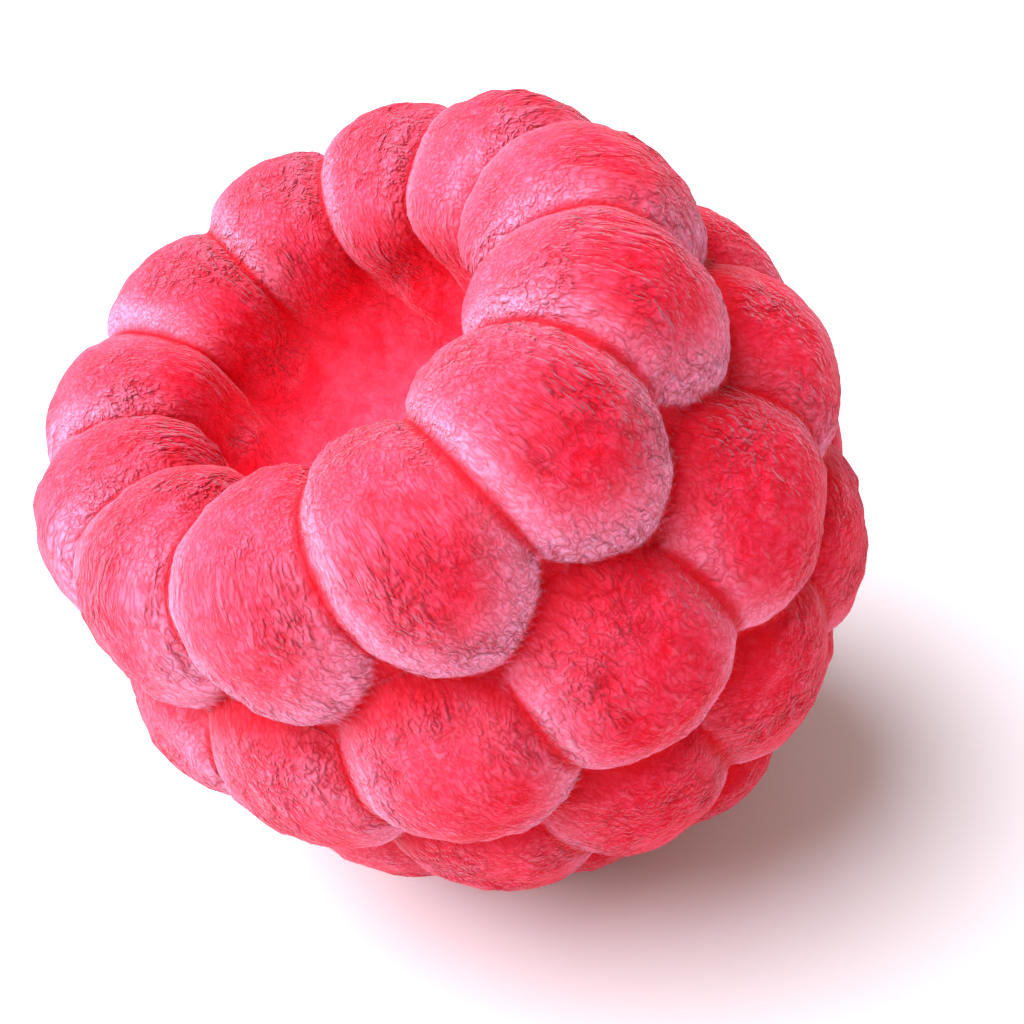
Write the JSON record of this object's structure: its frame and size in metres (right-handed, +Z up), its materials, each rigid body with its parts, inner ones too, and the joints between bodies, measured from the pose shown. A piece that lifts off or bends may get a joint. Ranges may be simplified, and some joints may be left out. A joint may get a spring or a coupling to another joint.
{
  "type": "raspberry",
  "caption": "Picked raspberry: plump round drupelets in rings around a hollow, open core, resting tilted on its tip end.",
  "frame": {"origin": "centre of the bounding box at its bottom, on the surface that the fruit rests on", "axes": "+Z up, -Y towards the viewer, +X to the viewer's right; the fruit's own axis leans 27 degrees from upright, towards -X and a little to -Y"},
  "size_m": [0.0202, 0.0194, 0.0196],
  "materials": {
    "drupelet_skin": "matte velvety pink-red skin with a pale bloom at its edges, fine crinkles and short down"
  },
  "bodies": {
    "root": {"raspberry": "drupelet_skin"}
  },
  "joints": []
}
